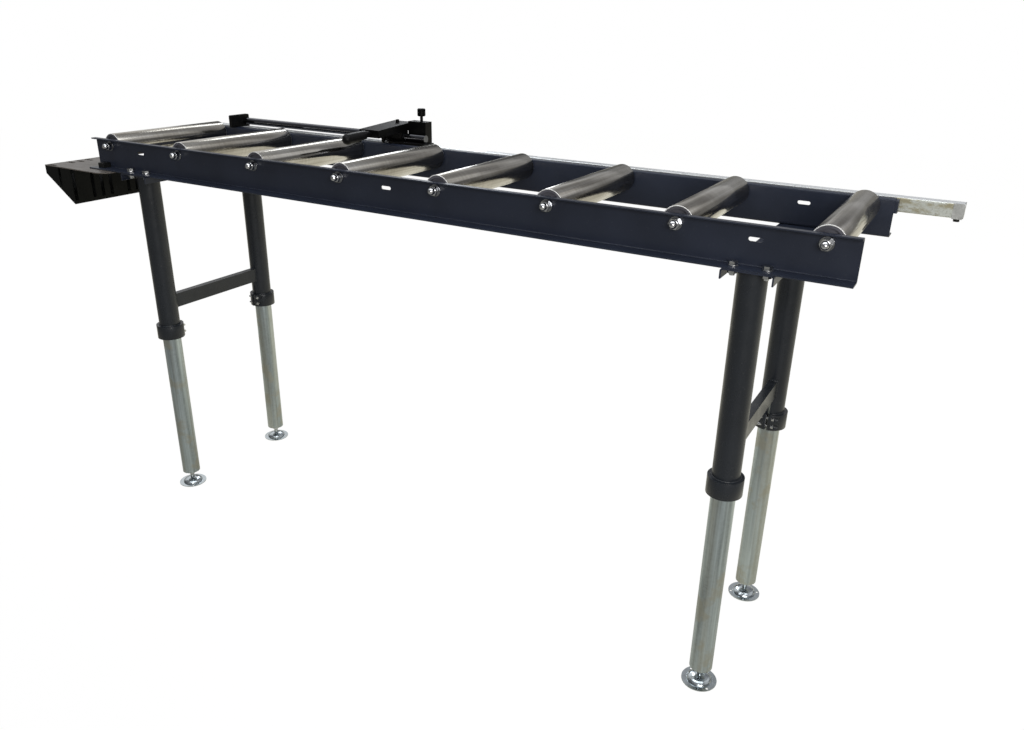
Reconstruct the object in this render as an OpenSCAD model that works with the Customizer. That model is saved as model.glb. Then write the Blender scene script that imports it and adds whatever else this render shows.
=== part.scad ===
/* [Table] */
// Length of the two side rails
table_length = 2000; // [1400:10:3000]
// Width over the outer faces of the two rail webs
frame_width = 385; // [320:5:600]
// Sheet thickness of the side rails
rail_t = 3; // [2:0.5:5]
// Height of a side rail
rail_h = 80; // [70:1:110]
// Reach of the narrow top flange from the web's outer face
top_flange = 15; // [12:1:30]
// Reach of the wide bottom flange from the web's outer face
bottom_flange = 35; // [30:0.5:60]
// Outer bend radius of the rails
rail_bend_r = 5; // [5:0.5:8]

/* [Rollers] */
// Outer diameter of a roller
roller_d = 63.5; // [45:0.5:64]
// Wall thickness of a roller tube
roller_wall = 2; // [1.5:0.5:4]
// Depth of the roller axles below the top of the rails
axle_drop = 19; // [16:0.5:26]
// Distance from a rail's end to the first axle
roller_overhang = 58; // [50:1:90]
// Gap between a roller's end and the web beside it
roller_gap = 3.5; // [2:0.5:12]
// Diameter of the roller axles
axle_d = 12; // [10:1:16]

/* [Legs] */
// Distance from a table end to the centre of its legs
leg_inset = 178; // [120:1:300]
// Distance of a leg's centre inside the web's outer face
leg_setback = 12.5; // [5:0.5:20]
// Outer diameter of the painted outer leg tubes
outer_tube_d = 57; // [55:0.5:64]
// Outer diameter of the galvanised inner leg tubes
inner_tube_d = 50; // [40:0.5:50]
// Wall thickness of the inner leg tubes
inner_tube_wall = 2.5; // [2:0.5:4]
// Sliding clearance round an inner leg tube
leg_clearance = 0.5; // [0.3:0.1:0.8]
// Length of the outer leg tubes
outer_tube_len = 469; // [400:1:600]
// Length of the inner leg tubes
inner_tube_len = 616; // [500:1:700]
// Length of inner tube that shows below the clamp collar
leg_exposed = 446; // [200:1:480]
// Outer diameter of a clamp collar
collar_d = 74; // [70:1:90]
// Height of a clamp collar
collar_h = 39; // [30:1:60]
// Width of the slit in collars and outer tubes
slit_w = 4; // [2:0.5:6]
// Width of the two cross channels under the rails
channel_w = 97; // [90:1:120]
// Height of the cross channels
channel_h = 20; // [18:1:30]
// Sheet thickness of the cross channels
channel_t = 3; // [2.5:0.5:5]
// Pitch of the two bolts that hold a rail on a cross channel
leg_bolt_pitch = 62; // [40:1:80]
// Thickness of a cross bar
crossbar_t = 20; // [15:1:30]
// Height of a cross bar
crossbar_h = 40; // [25:1:60]
// Height of a cross bar's lower edge above the collar's lower edge
crossbar_rise = 82.5; // [75:0.5:200]

/* [Feet] */
// Diameter of a foot disc
foot_d = 78; // [70:1:110]
// Diameter of the dome pressed into a foot disc
foot_dome_d = 56; // [50:1:62]
// Height of the foot dome
foot_dome_h = 15; // [10:0.5:20]
// Sheet thickness of a foot disc
foot_t = 2; // [1.5:0.25:4]
// Diameter of the threaded studs of the feet
stud_d = 12; // [10:1:16]
// Height of the leg tube's lower end above the floor
foot_height = 40; // [40:1:50]

/* [Stop rail] */
// Side of the square stop rail tube
stop_tube = 30; // [25:1:40]
// Wall thickness of the stop rail tube
stop_tube_wall = 2; // [1.5:0.5:4]
// Distance from the rear web's outer face to the stop rail tube
stop_tube_offset = 20; // [18:1:40]
// Reach of the stop rail past the right end of the rails
stop_tube_reach = 124; // [40:1:300]

/* [Length stop] */
// Diameter of the guide rod
rod_d = 20; // [16:1:24]
// Distance of the left rod support from the left end of the rails
rod_start = 121; // [110:1:160]
// Free length of the guide rod between its left support and its right end
rod_len = 678; // [400:1:700]
// Gap under the guide rod
rod_gap = 5.5; // [5.5:0.5:10]
// Width of the stop arm
arm_w = 64; // [40:1:80]
// Thickness of the stop arm's beam
arm_t = 20; // [14:1:30]
// Reach of the stop arm in front of the guide rod
arm_front = 112.5; // [80:0.5:130]
// Reach of the stop arm behind the guide rod
arm_rear = 40; // [30:1:44]
// Tilt of the stop arm in its working place, front end down
arm_tilt = 3.5; // [0:0.5:6]
// Length of the stop arm's grip
grip_len = 92; // [60:1:120]
// Largest diameter of the stop arm's grip
grip_d = 28; // [22:1:34]

/* [End tray] */
// Length of the tray plate along the table
tray_len = 254; // [220:1:320]
// Depth of the tray plate across the table
tray_depth = 254; // [220:1:280]
// Reach of the tray past the left end of the rails
tray_reach = 149; // [120:1:200]
// Reach of the tray in front of the front web's outer face
tray_front = 69.5; // [60:0.5:90]
// Sheet thickness of the tray
tray_t = 2.5; // [1.5:0.5:4]
// Length of the trough under the tray plate
trough_len = 108; // [90:1:120]
// Depth of the trough at its slotted wall
trough_h = 99; // [70:1:140]
// Height of the trough's outer wall
trough_lip_h = 24; // [16:1:40]
// Pitch of the slots in the trough
tray_slot_pitch = 28; // [24:1:40]
// Width of the slots in the trough
tray_slot_w = 10; // [6:0.5:12]

/* [Hidden] */

// Overrun of every cut past the faces that it passes through
cut = 1;
// Facets of large and of small round parts
fn_large = 96;
fn_small = 48;
// Side of a hexagon over its corners, as a share of its width over flats
hex_share = 1.1547;

roller_count = 8;
web_y = frame_width / 2;
web_in_y = web_y - rail_t;
roller_pitch = (table_length - 2 * roller_overhang) / (roller_count - 1);
roller_len = 2 * (web_in_y - roller_gap);

// Heights above the floor
inner_z0 = foot_height;
collar_z0 = inner_z0 + leg_exposed;
channel_top = collar_z0 + outer_tube_len + channel_t;
rail_z0 = channel_top;
rail_z1 = rail_z0 + rail_h;
axle_z = rail_z1 - axle_drop;
crossbar_z0 = collar_z0 + crossbar_rise;

leg_x = table_length / 2 - leg_inset;
leg_y = web_y - leg_setback;
outer_tube_id = inner_tube_d + 2 * leg_clearance;

// Places along the table and across it
tray_x0 = -table_length / 2 - tray_reach;
tray_y0 = -web_y - tray_front;
end_fitting_t = 2;
stop_tube_y0 = web_y + stop_tube_offset;
stop_tube_x1 = table_length / 2 + stop_tube_reach;
rod_y = stop_tube_y0 + stop_tube / 2;
rod_z = rail_z1 + rod_gap + rod_d / 2;
clamp_block_t = 29;
clamp_block_y1 = stop_tube_y0 + stop_tube + clamp_block_t;

// Middle of the whole object's box, which is the origin's place
mid_x = (tray_x0 + stop_tube_x1 + end_fitting_t) / 2;
mid_y = (tray_y0 + clamp_block_y1) / 2;

paint = [0.20, 0.22, 0.26];
leg_paint = [0.25, 0.26, 0.28];
galvanised = [0.66, 0.69, 0.68];
zinc = [0.78, 0.80, 0.82];
black = [0.07, 0.07, 0.08];
steel = [0.62, 0.61, 0.58];
tray_green = [0.16, 0.18, 0.16];

// Axle number i of the rollers, from the left
function axle_x(i) = -table_length / 2 + roller_overhang + (i - 1) * roller_pitch;

// Everything is drawn from the middle of the table and moved to the origin
module place() {
    translate([-mid_x, -mid_y, 0]) children();
}

// The four leg places: side_x and side_y are -1 or 1
module at_leg(side_x, side_y) {
    translate([side_x * leg_x, side_y * leg_y, 0]) children();
}

// Quarter ring of sheet, centred on the origin, from 0 to 90 degrees
module bend_2d(r, t) {
    intersection() {
        difference() {
            circle(r = r, $fn = fn_small);
            circle(r = r - t, $fn = fn_small);
        }
        square([r, r]);
    }
}

module hexagon(flats, h) {
    cylinder(d = flats * hex_share, h = h, $fn = 6);
}

// Slot along X with round ends, cut through in Z
module slot_x(length, width, depth) {
    for (s = [-1, 1]) translate([s * (length - width) / 2, 0, 0])
        cylinder(d = width, h = depth, center = true, $fn = fn_small);
    cube([length - width, width, depth], center = true);
}

// Small sizes of the rails and of what is bolted to them
web_slot_l = 27;
web_slot_w = 8;
web_slot_drop = 29;
axle_hole_play = 0.2;
leg_bolt_d = 10;
leg_bolt_play = 1;
leg_bolt_reach = 14.5;
leg_bolt_flats = 16;
leg_bolt_head_h = 6.4;
leg_bolt_washer_d = 20;
leg_bolt_washer_t = 2;
leg_bolt_tail = 4;
leg_nut_h = 8;
thread_play = 0.1;

// Small sizes of the legs
slit_rise = 28;
collar_screw_d = 6;
collar_screw_play = 0.4;
collar_screw_y = 32.3;
collar_screw_pitch = 19;
collar_screw_len = 32;
collar_head_d = 10;
collar_head_h = 6;
collar_head_x = 10;
collar_pocket_play = 0.6;
socket_flats = 5;
socket_depth = 3;
crossbar_wall = 2;

// Small sizes of the feet
insert_h = 25;
lock_nut_flats = 19;
lock_nut_h = 10;
lock_nut_gap = 0.1;
dome_steps = 7;
foot_stud_z0 = 4;
foot_collar_d = 16;
foot_hole_play = 0.4;
foot_seat_gap = 0.1;
foot_anchor_d = 6;
foot_anchor_r = 33;
foot_anchor_turn_front = -40;
foot_anchor_turn_rear = -155;
stud_reach = 85;

// Small sizes of the rollers
cap_recess = 1;
cap_w = 14;
cap_groove_d0 = 32;
cap_groove_d1 = 50;
cap_groove_depth = 5;
bearing_ring_d = 20;
bearing_play = 0.1;
axle_play = 0.1;
washer_d = 26;
washer_t = 2.5;
axle_nut_flats = 19;
axle_nut_h = 10;
axle_tail = 2;
cap_nut_hex_h = 10;
cap_nut_h = 22;
cap_nut_dome_d = 16;
cap_nut_bore_h = 16;

// Small sizes of the stop rail
stop_tube_r = 3;
spacer_len = 40;
spacer_reach = 6;
plug_depth = 18;
plug_hollow_t = 3;
clip_w = 19;
clip_t = 1.2;
clip_gap = 0.2;
clip_knob_d = 12;
clip_knob_h = 6;
clip_knob_y = 9.5;

// Small sizes of the length stop
rod_plate_t = 11;
rod_plate_reach = 55;
rod_plate_h = 35;
rod_plate_r = 4;
rod_socket_depth = 6;
rod_play = 0.1;
pad_x1 = 15;
pad_step = 80;
pad_len = 120;
pad_strip_w = 11;
pad_front = 27.5;
block_x1 = -11.5;
block_w = 58;
block_h = 87;
block_recess_x = 15;
block_recess_d = 12;
block_recess_depth = 4;
jaw_t = 8;
screw_x = 35;
screw_d = 8;
screw_play = 0.1;
screw_head_d = 21;
screw_head_h = 20;
screw_head_gap = 14;
screw_head_chamfer = 1.5;
screw_ring_d = 14;
screw_ring_h = 4;
screw_ring_gap = 0.1;
arm_rest_gap = 70;
hub_d = 30;
bush_d = 24;
bush_lip_d = 28;
bush_lip_t = 1.5;
bush_lip_gap = 0.2;
rest_pin_d = 11;
rest_pin_x = 52;
rest_pin_y = 29.5;
rest_pin_gap = 0.3;
arm_screw_x = 32;
arm_screw_y = 12.5;
arm_screw_head_d = 10;
arm_screw_head_h = 8;
arm_screw_d = 6;
arm_screw_depth = 18;
neck_d = 14;
neck_len = 9;
neck_socket = 6;
grip_d0 = 22;
grip_steps = 8;

// Small sizes of the tray
tray_corner_r = 36;
trough_t = 2;
tray_band_inset = 2;
tray_band_len = 40;
tray_slot_edge = 8;
tray_slot_z0 = 10;
trough_floor_share = 1.5;
tray_end_slot_x = 61;
tray_end_slot_z0 = 47;
clip_block_x = 171;
clip_block_w = 23;
clip_block_y = 22.5;
clip_block_h = 16;
clip_screw_d = 8;
clip_screw_flats = 13;
clip_screw_head_h = 5;

// Places worked out from the sizes above
flange_y = web_y + bottom_flange;
leg_bolt_y = web_y + leg_bolt_reach;
rod_x0 = -table_length / 2 + rod_start + rod_plate_t - rod_socket_depth;
rod_x1 = -table_length / 2 + rod_start + rod_plate_t + rod_len;
stop_tube_y1 = stop_tube_y0 + stop_tube;
stop_tube_z0 = rail_z1 - stop_tube;
pad_right = rod_x1 + pad_x1;
block_x0 = rod_x1 + block_x1 - block_w;
screw_y = stop_tube_y1 + clamp_block_t / 2;
arm_x1 = rod_x1 - arm_rest_gap;
hub_r = hub_d / 2;
arm_axis_h = hub_r + arm_t / 2;
tray_x1 = tray_x0 + tray_len;
tray_y1 = tray_y0 + tray_depth;
trough_z1 = rail_z0 - tray_t;
trough_z0 = rail_z0 - trough_h;
trough_x1 = tray_x0 + trough_len;
slot_count = floor((tray_depth - 2 * tray_slot_edge) / tray_slot_pitch);

// Cross-section of a side rail: web, narrow top flange and wide bottom flange
module rail_profile() {
    translate([0, rail_bend_r]) square([rail_t, rail_h - 2 * rail_bend_r]);
    translate([rail_bend_r, rail_h - rail_bend_r]) rotate(90) bend_2d(rail_bend_r, rail_t);
    translate([rail_bend_r, rail_h - rail_t]) square([rail_t + top_flange - rail_bend_r, rail_t]);
    translate([rail_bend_r, rail_bend_r]) rotate(180) bend_2d(rail_bend_r, rail_t);
    translate([rail_bend_r, 0]) square([rail_t + bottom_flange - rail_bend_r, rail_t]);
}

// Cylinder along Y through the web of the rear rail
module web_hole(x, z, d) {
    translate([x, web_in_y - cut, z]) rotate([-90, 0, 0])
        cylinder(d = d, h = rail_t + 2 * cut, $fn = fn_small);
}

// Drawn as the rear rail; the front one is its mirror image
module rail(slot_places) {
    difference() {
        translate([-table_length / 2, web_in_y, rail_z0]) rotate([90, 0, 90])
            linear_extrude(height = table_length) rail_profile();
        for (i = [1 : roller_count]) web_hole(axle_x(i), axle_z, axle_d + axle_hole_play);
        for (x = slot_places)
            translate([x, web_in_y + rail_t / 2, rail_z1 - web_slot_drop]) rotate([90, 0, 0])
                slot_x(web_slot_l, web_slot_w, rail_t + 2 * cut);
        flange_holes();
    }
}

// Bolt places of one rail's bottom flange
module at_flange_bolts() {
    for (sx = [-1, 1], s = [-1, 1])
        translate([sx * leg_x + s * leg_bolt_pitch / 2, leg_bolt_y, 0]) children();
}

module flange_holes() {
    at_flange_bolts() translate([0, 0, rail_z0 - channel_t - cut])
        cylinder(d = leg_bolt_d + leg_bolt_play, h = rail_t + channel_t + 2 * cut, $fn = fn_small);
}

module front_rail() {
    color(paint) place() mirror([0, 1, 0]) difference() {
        rail([-leg_x, 0, leg_x]);
        translate([tray_x0 + clip_block_x + clip_block_w / 2, web_y + clip_block_y / 2, rail_z0 - cut])
            cylinder(d = clip_screw_d + leg_bolt_play, h = rail_t + 2 * cut, $fn = fn_small);
    }
}

module rear_rail() {
    color(paint) place() rail([-leg_x, leg_x]);
}

// Cross channels under the rails, which carry the legs
module channel_profile() {
    for (s = [0, 1]) mirror([s, 0]) {
        translate([channel_w / 2 - channel_t, 0]) square([channel_t, channel_h - rail_bend_r]);
        translate([channel_w / 2 - rail_bend_r, channel_h - rail_bend_r]) bend_2d(rail_bend_r, channel_t);
        translate([0, channel_h - channel_t]) square([channel_w / 2 - rail_bend_r, channel_t]);
    }
}

module cross_channel(side_x) {
    color(paint) place() difference() {
        translate([side_x * leg_x, 0, rail_z0 - channel_h]) rotate([90, 0, 0])
            linear_extrude(height = 2 * flange_y, center = true) channel_profile();
        flange_holes();
        mirror([0, 1, 0]) flange_holes();
    }
}

// A leg is drawn as a rear one, with its slit towards the front
module turn_leg(side_x, side_y) {
    place() at_leg(side_x, side_y) rotate(side_y < 0 ? 180 : 0) children();
}

module outer_leg(side_x, side_y) {
    color(leg_paint) turn_leg(side_x, side_y) difference() {
        translate([0, 0, collar_z0]) cylinder(d = outer_tube_d, h = outer_tube_len, $fn = fn_large);
        translate([0, 0, collar_z0 - cut])
            cylinder(d = outer_tube_id, h = outer_tube_len + 2 * cut, $fn = fn_large);
        translate([-slit_w / 2, -outer_tube_d / 2 - cut, collar_z0 - cut])
            cube([slit_w, outer_tube_d / 2 + cut, collar_h + slit_rise + cut]);
    }
}

module collar_screw_at(i) {
    translate([0, -collar_screw_y, collar_z0 + collar_h / 2 + i * collar_screw_pitch / 2])
        rotate([0, 90, 0]) children();
}

module collar() {
    difference() {
        translate([0, 0, collar_z0]) cylinder(d = collar_d, h = collar_h, $fn = fn_large);
        translate([0, 0, collar_z0 - cut]) cylinder(d = outer_tube_d, h = collar_h + 2 * cut, $fn = fn_large);
        translate([-slit_w / 2, -collar_d / 2 - cut, collar_z0 - cut])
            cube([slit_w, collar_d / 2 + cut, collar_h + 2 * cut]);
        for (i = [-1, 1]) collar_screw_at(i) {
            cylinder(d = collar_screw_d + collar_screw_play, h = collar_d, center = true, $fn = fn_small);
            translate([0, 0, collar_head_x])
                cylinder(d = collar_head_d + collar_pocket_play, h = collar_d / 2, $fn = fn_small);
        }
    }
}

module collar_screw() {
    difference() {
        union() {
            translate([0, 0, collar_head_x]) cylinder(d = collar_head_d, h = collar_head_h, $fn = fn_small);
            translate([0, 0, collar_head_x - collar_screw_len])
                cylinder(d = collar_screw_d, h = collar_screw_len, $fn = fn_small);
        }
        translate([0, 0, collar_head_x + collar_head_h - socket_depth])
            hexagon(socket_flats, socket_depth + cut);
    }
}

module clamp_collars() {
    color(leg_paint) for (sx = [-1, 1], sy = [-1, 1]) turn_leg(sx, sy) collar();
}

module collar_screws() {
    color(zinc) for (sx = [-1, 1], sy = [-1, 1], i = [-1, 1])
        turn_leg(sx, sy) collar_screw_at(i) collar_screw();
}

module cross_bars() {
    color(leg_paint) place() for (sx = [-1, 1]) difference() {
        translate([sx * leg_x, 0, crossbar_z0 + crossbar_h / 2]) difference() {
            cube([crossbar_t, 2 * leg_y, crossbar_h], center = true);
            cube([crossbar_t - 2 * crossbar_wall, 2 * leg_y + 2 * cut, crossbar_h - 2 * crossbar_wall],
                center = true);
        }
        for (sy = [-1, 1]) at_leg(sx, sy) translate([0, 0, collar_z0])
            cylinder(d = outer_tube_d, h = outer_tube_len, $fn = fn_large);
    }
}

module inner_leg(side_x, side_y) {
    color(galvanised) turn_leg(side_x, side_y) difference() {
        translate([0, 0, inner_z0]) cylinder(d = inner_tube_d, h = inner_tube_len, $fn = fn_large);
        translate([0, 0, inner_z0 - cut])
            cylinder(d = inner_tube_d - 2 * inner_tube_wall, h = inner_tube_len + 2 * cut, $fn = fn_large);
    }
}

// Threaded plug in the tube's end and the lock nut under it
module leg_insert(side_x, side_y) {
    color(zinc) turn_leg(side_x, side_y) {
        difference() {
            translate([0, 0, inner_z0])
                cylinder(d = inner_tube_d - 2 * inner_tube_wall, h = insert_h, $fn = fn_large);
            translate([0, 0, inner_z0 - cut])
                cylinder(d = stud_d + thread_play, h = insert_h + 2 * cut, $fn = fn_small);
        }
        translate([0, 0, inner_z0 - lock_nut_h - lock_nut_gap]) difference() {
            hexagon(lock_nut_flats, lock_nut_h);
            translate([0, 0, -cut])
                cylinder(d = stud_d + thread_play, h = lock_nut_h + 2 * cut, $fn = fn_small);
        }
    }
}

// Rounded dome, high in the middle and steep at its foot
function dome_point(a) = [foot_dome_d / 2 * cos(a), foot_t + (foot_dome_h - foot_t) * sin(a)];
function dome_inside(a) = [(foot_dome_d / 2 - foot_t) * cos(a), (foot_dome_h - foot_t) * sin(a)];
module foot_disc(anchor_turn) {
    hole_r = (stud_d + foot_hole_play) / 2;
    top_a = acos(hole_r / (foot_dome_d / 2));
    under_a = acos(hole_r / (foot_dome_d / 2 - foot_t));
    difference() {
        rotate_extrude($fn = fn_large) polygon(concat(
            [[foot_d / 2, 0], [foot_d / 2, foot_t]],
            [for (k = [0 : dome_steps]) dome_point(top_a * k / dome_steps)],
            [for (k = [0 : dome_steps]) dome_inside(under_a * (1 - k / dome_steps))]
        ));
        for (a = [0, 180]) rotate(anchor_turn + a) translate([foot_anchor_r, 0, -cut])
            cylinder(d = foot_anchor_d, h = foot_t + 2 * cut, $fn = fn_small);
    }
}

module foot_stud() {
    translate([0, 0, foot_stud_z0])
        cylinder(d = stud_d, h = inner_z0 + stud_reach - foot_stud_z0, $fn = fn_small);
    // Collar that carries the dome from below
    collar_top = dome_inside(acos(foot_collar_d / (foot_dome_d - 2 * foot_t)))[1] - foot_seat_gap;
    translate([0, 0, foot_stud_z0])
        cylinder(d = foot_collar_d, h = collar_top - foot_stud_z0, $fn = fn_small);
}

module levelling_foot(side_x, side_y) {
    color(zinc) place() at_leg(side_x, side_y) {
        foot_disc(side_y < 0 ? foot_anchor_turn_front : foot_anchor_turn_rear);
        foot_stud();
    }
}

// Bolt that holds a rail on a cross channel, with its washer
module leg_bolt() {
    difference() {
        union() {
            translate([0, 0, rail_z0 + rail_t])
                cylinder(d = leg_bolt_washer_d, h = leg_bolt_washer_t, $fn = fn_small);
            translate([0, 0, rail_z0 + rail_t + leg_bolt_washer_t])
                hexagon(leg_bolt_flats, leg_bolt_head_h);
            translate([0, 0, rail_z0 - channel_t - leg_nut_h - leg_bolt_tail])
                cylinder(d = leg_bolt_d, h = rail_t + channel_t + leg_nut_h + leg_bolt_tail, $fn = fn_small);
        }
    }
}

module leg_bolts() {
    color(zinc) place() for (s = [0, 1]) mirror([0, s, 0]) at_flange_bolts() leg_bolt();
}

module leg_nuts() {
    color(zinc) place() for (s = [0, 1]) mirror([0, s, 0]) at_flange_bolts()
        translate([0, 0, rail_z0 - channel_t - leg_nut_h]) difference() {
            hexagon(leg_bolt_flats, leg_nut_h);
            translate([0, 0, -cut])
                cylinder(d = leg_bolt_d + thread_play, h = leg_nut_h + 2 * cut, $fn = fn_small);
        }
}

module at_axle(i) {
    translate([axle_x(i), 0, axle_z]) children();
}

module roller_tube(i) {
    color(steel) place() at_axle(i) rotate([90, 0, 0]) difference() {
        cylinder(d = roller_d, h = roller_len, center = true, $fn = fn_large);
        cylinder(d = roller_d - 2 * roller_wall, h = roller_len + 2 * cut, center = true, $fn = fn_large);
    }
}

// Pressed-in end caps with the outer rings of the bearings
module roller_caps(i) {
    color(black) place() at_axle(i) for (s = [0, 1]) mirror([0, s, 0])
        translate([0, roller_len / 2 - cap_recess, 0]) rotate([90, 0, 0]) difference() {
            cylinder(d = roller_d - 2 * roller_wall, h = cap_w, $fn = fn_large);
            translate([0, 0, -cut])
                cylinder(d = bearing_ring_d + bearing_play, h = cap_w + 2 * cut, $fn = fn_small);
            translate([0, 0, -cut]) difference() {
                cylinder(d = cap_groove_d1, h = cap_groove_depth + cut, $fn = fn_large);
                cylinder(d = cap_groove_d0, h = cap_groove_depth + cut, $fn = fn_large);
            }
        }
}

// Fixed axles; the front end sits in a cap nut and the rear end stands out of a plain nut
module roller_axles() {
    axle_y1 = web_y + washer_t + axle_nut_h + axle_tail;
    color(zinc) place() for (i = [1 : roller_count]) at_axle(i)
        translate([0, axle_y1, 0]) rotate([90, 0, 0])
            cylinder(d = axle_d, h = axle_y1 + web_y + washer_t + cap_nut_bore_h, $fn = fn_small);
}

module bearing_inner_rings() {
    color(steel) place() for (i = [1 : roller_count], s = [0, 1]) at_axle(i) mirror([0, s, 0])
        translate([0, web_in_y, 0]) rotate([90, 0, 0]) difference() {
            cylinder(d = bearing_ring_d, h = roller_gap + cap_recess + cap_w, $fn = fn_small);
            translate([0, 0, -cut])
                cylinder(d = axle_d + axle_play, h = roller_gap + cap_recess + cap_w + 2 * cut, $fn = fn_small);
        }
}

module axle_washers() {
    color(zinc) place() for (i = [1 : roller_count], s = [0, 1]) at_axle(i) mirror([0, s, 0])
        translate([0, web_y, 0]) rotate([-90, 0, 0]) difference() {
            cylinder(d = washer_d, h = washer_t, $fn = fn_small);
            translate([0, 0, -cut]) cylinder(d = axle_d + axle_play, h = washer_t + 2 * cut, $fn = fn_small);
        }
}

// Hexagon nut with a closed dome
module cap_nut() {
    difference() {
        union() {
            hexagon(axle_nut_flats, cap_nut_hex_h);
            intersection() {
                cylinder(d = cap_nut_dome_d, h = cap_nut_h, $fn = fn_small);
                translate([0, 0, cap_nut_h - cap_nut_dome_d / 2]) union() {
                    sphere(d = cap_nut_dome_d, $fn = fn_small);
                    mirror([0, 0, 1]) cylinder(d = cap_nut_dome_d, h = cap_nut_h, $fn = fn_small);
                }
            }
        }
        translate([0, 0, -cut]) cylinder(d = axle_d + axle_play, h = cap_nut_bore_h + cut, $fn = fn_small);
    }
}

module plain_nut() {
    difference() {
        hexagon(axle_nut_flats, axle_nut_h);
        translate([0, 0, -cut]) cylinder(d = axle_d + axle_play, h = axle_nut_h + 2 * cut, $fn = fn_small);
    }
}

// Cap nuts at the front, and plain nuts behind, where the stop rail leaves little room
module axle_nuts() {
    color(zinc) place() for (i = [1 : roller_count]) at_axle(i) {
        translate([0, -web_y - washer_t, 0]) rotate([90, 0, 0]) cap_nut();
        translate([0, web_y + washer_t, 0]) rotate([-90, 0, 0]) plain_nut();
    }
}

// Square with rounded corners
module round_square(side, r) {
    translate([r, 0]) square([side - 2 * r, side]);
    translate([0, r]) square([side, side - 2 * r]);
    for (x = [r, side - r], y = [r, side - r]) translate([x, y]) circle(r = r, $fn = fn_small);
}

// Extrusion along X of a Y-Z outline, from x0 over a length
module along_x(x0, length) {
    translate([x0, 0, 0]) rotate([90, 0, 90]) linear_extrude(height = length) children();
}

module stop_rail() {
    color(galvanised) place() along_x(-table_length / 2, table_length + stop_tube_reach)
        translate([stop_tube_y0, stop_tube_z0]) difference() {
            round_square(stop_tube, stop_tube_r);
            translate([stop_tube_wall, stop_tube_wall])
                round_square(stop_tube - 2 * stop_tube_wall, stop_tube_r - stop_tube_wall);
        }
}

// Block beside a rail's web, of width w and height h, chamfered to clear the bend at one corner
module web_block_2d(w, h) {
    bend_in_r = rail_bend_r - rail_t;
    polygon([[bend_in_r, 0], [w, 0], [w, h], [0, h], [0, bend_in_r]]);
}

// Blocks between the rear web and the stop rail
module stop_rail_spacers() {
    color(paint) place() for (x = [
        -table_length / 2,
        (axle_x(2) + axle_x(3) - spacer_len) / 2,
        -spacer_len / 2,
        (axle_x(6) + axle_x(7) - spacer_len) / 2,
        table_length / 2 + spacer_reach - spacer_len
    ]) along_x(x, spacer_len) translate([web_y, rail_z1 - rail_t]) mirror([0, 1])
        web_block_2d(stop_tube_offset, stop_tube - rail_t);
}

// End plugs and the clip with its knob near the right end
module end_plug() {
    translate([0, stop_tube_y0, stop_tube_z0]) {
        rotate([90, 0, 90]) linear_extrude(height = end_fitting_t) round_square(stop_tube, stop_tube_r);
        translate([-plug_depth, stop_tube_wall, stop_tube_wall])
            rotate([90, 0, 90]) linear_extrude(height = plug_depth) difference() {
                round_square(stop_tube - 2 * stop_tube_wall, stop_tube_r - stop_tube_wall);
                translate([plug_hollow_t, plug_hollow_t])
                    square(stop_tube - 2 * stop_tube_wall - 2 * plug_hollow_t);
            }
    }
}

module rail_clip() {
    clip_side = stop_tube + 2 * clip_t;
    along_x(stop_tube_x1 - clip_w, clip_w) translate([stop_tube_y0, stop_tube_z0]) difference() {
        translate([-clip_t, -clip_t]) square([clip_side / 2, clip_side - clip_t]);
        square([stop_tube, stop_tube + cut]);
    }
    translate([stop_tube_x1 - clip_w / 2, stop_tube_y0 + clip_knob_y, stop_tube_z0 - clip_t - clip_knob_h])
        cylinder(d = clip_knob_d, h = clip_knob_h, $fn = fn_small);
}

module stop_rail_end_fittings() {
    color(black) place() {
        translate([stop_tube_x1, 0, 0]) end_plug();
        translate([-table_length / 2, 0, 0]) mirror([1, 0, 0]) end_plug();
        rail_clip();
    }
}

// Plate outline with its two upper corners rounded
module top_round(w, h, r) {
    square([w, h - r]);
    translate([r, 0]) square([w - 2 * r, h]);
    for (x = [r, w - r]) translate([x, h - r]) circle(r = r, $fn = fn_small);
}

module rod_support_left() {
    plate_x = -table_length / 2 + rod_start;
    color(black) place() difference() {
        along_x(plate_x, rod_plate_t)
            translate([rod_y - rod_plate_reach, rail_z1])
                top_round(rod_plate_reach + stop_tube / 2, rod_plate_h, rod_plate_r);
        translate([rod_x0, rod_y, rod_z]) rotate([0, 90, 0])
            cylinder(d = rod_d + rod_play, h = rod_socket_depth + cut, $fn = fn_large);
    }
}

module rod_support_right() {
    color(black) place() difference() {
        union() {
            translate([pad_right - pad_len, rod_y - pad_front, rail_z1]) cube([pad_len, pad_strip_w, rod_gap]);
            translate([pad_right - pad_step, rod_y - pad_front, rail_z1])
                cube([pad_step, pad_front + stop_tube / 2, rod_gap]);
            translate([block_x0, stop_tube_y1, stop_tube_z0]) cube([block_w, clamp_block_t, block_h]);
        }
        translate([block_x0 + screw_x, screw_y, stop_tube_z0 - cut])
            cylinder(d = screw_d + screw_play, h = block_h + 2 * cut, $fn = fn_small);
        translate([block_x0 + block_recess_x, screw_y, stop_tube_z0 + block_h - block_recess_depth])
            cylinder(d = block_recess_d, h = block_recess_depth + cut, $fn = fn_small);
    }
}

module clamp_jaw() {
    color(black) place() difference() {
        translate([block_x0, stop_tube_y0, stop_tube_z0 - jaw_t])
            cube([block_w, stop_tube + clamp_block_t, jaw_t]);
        translate([block_x0 + screw_x, screw_y, stop_tube_z0 - jaw_t - cut])
            cylinder(d = screw_d + screw_play, h = jaw_t + 2 * cut, $fn = fn_small);
    }
}

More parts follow.
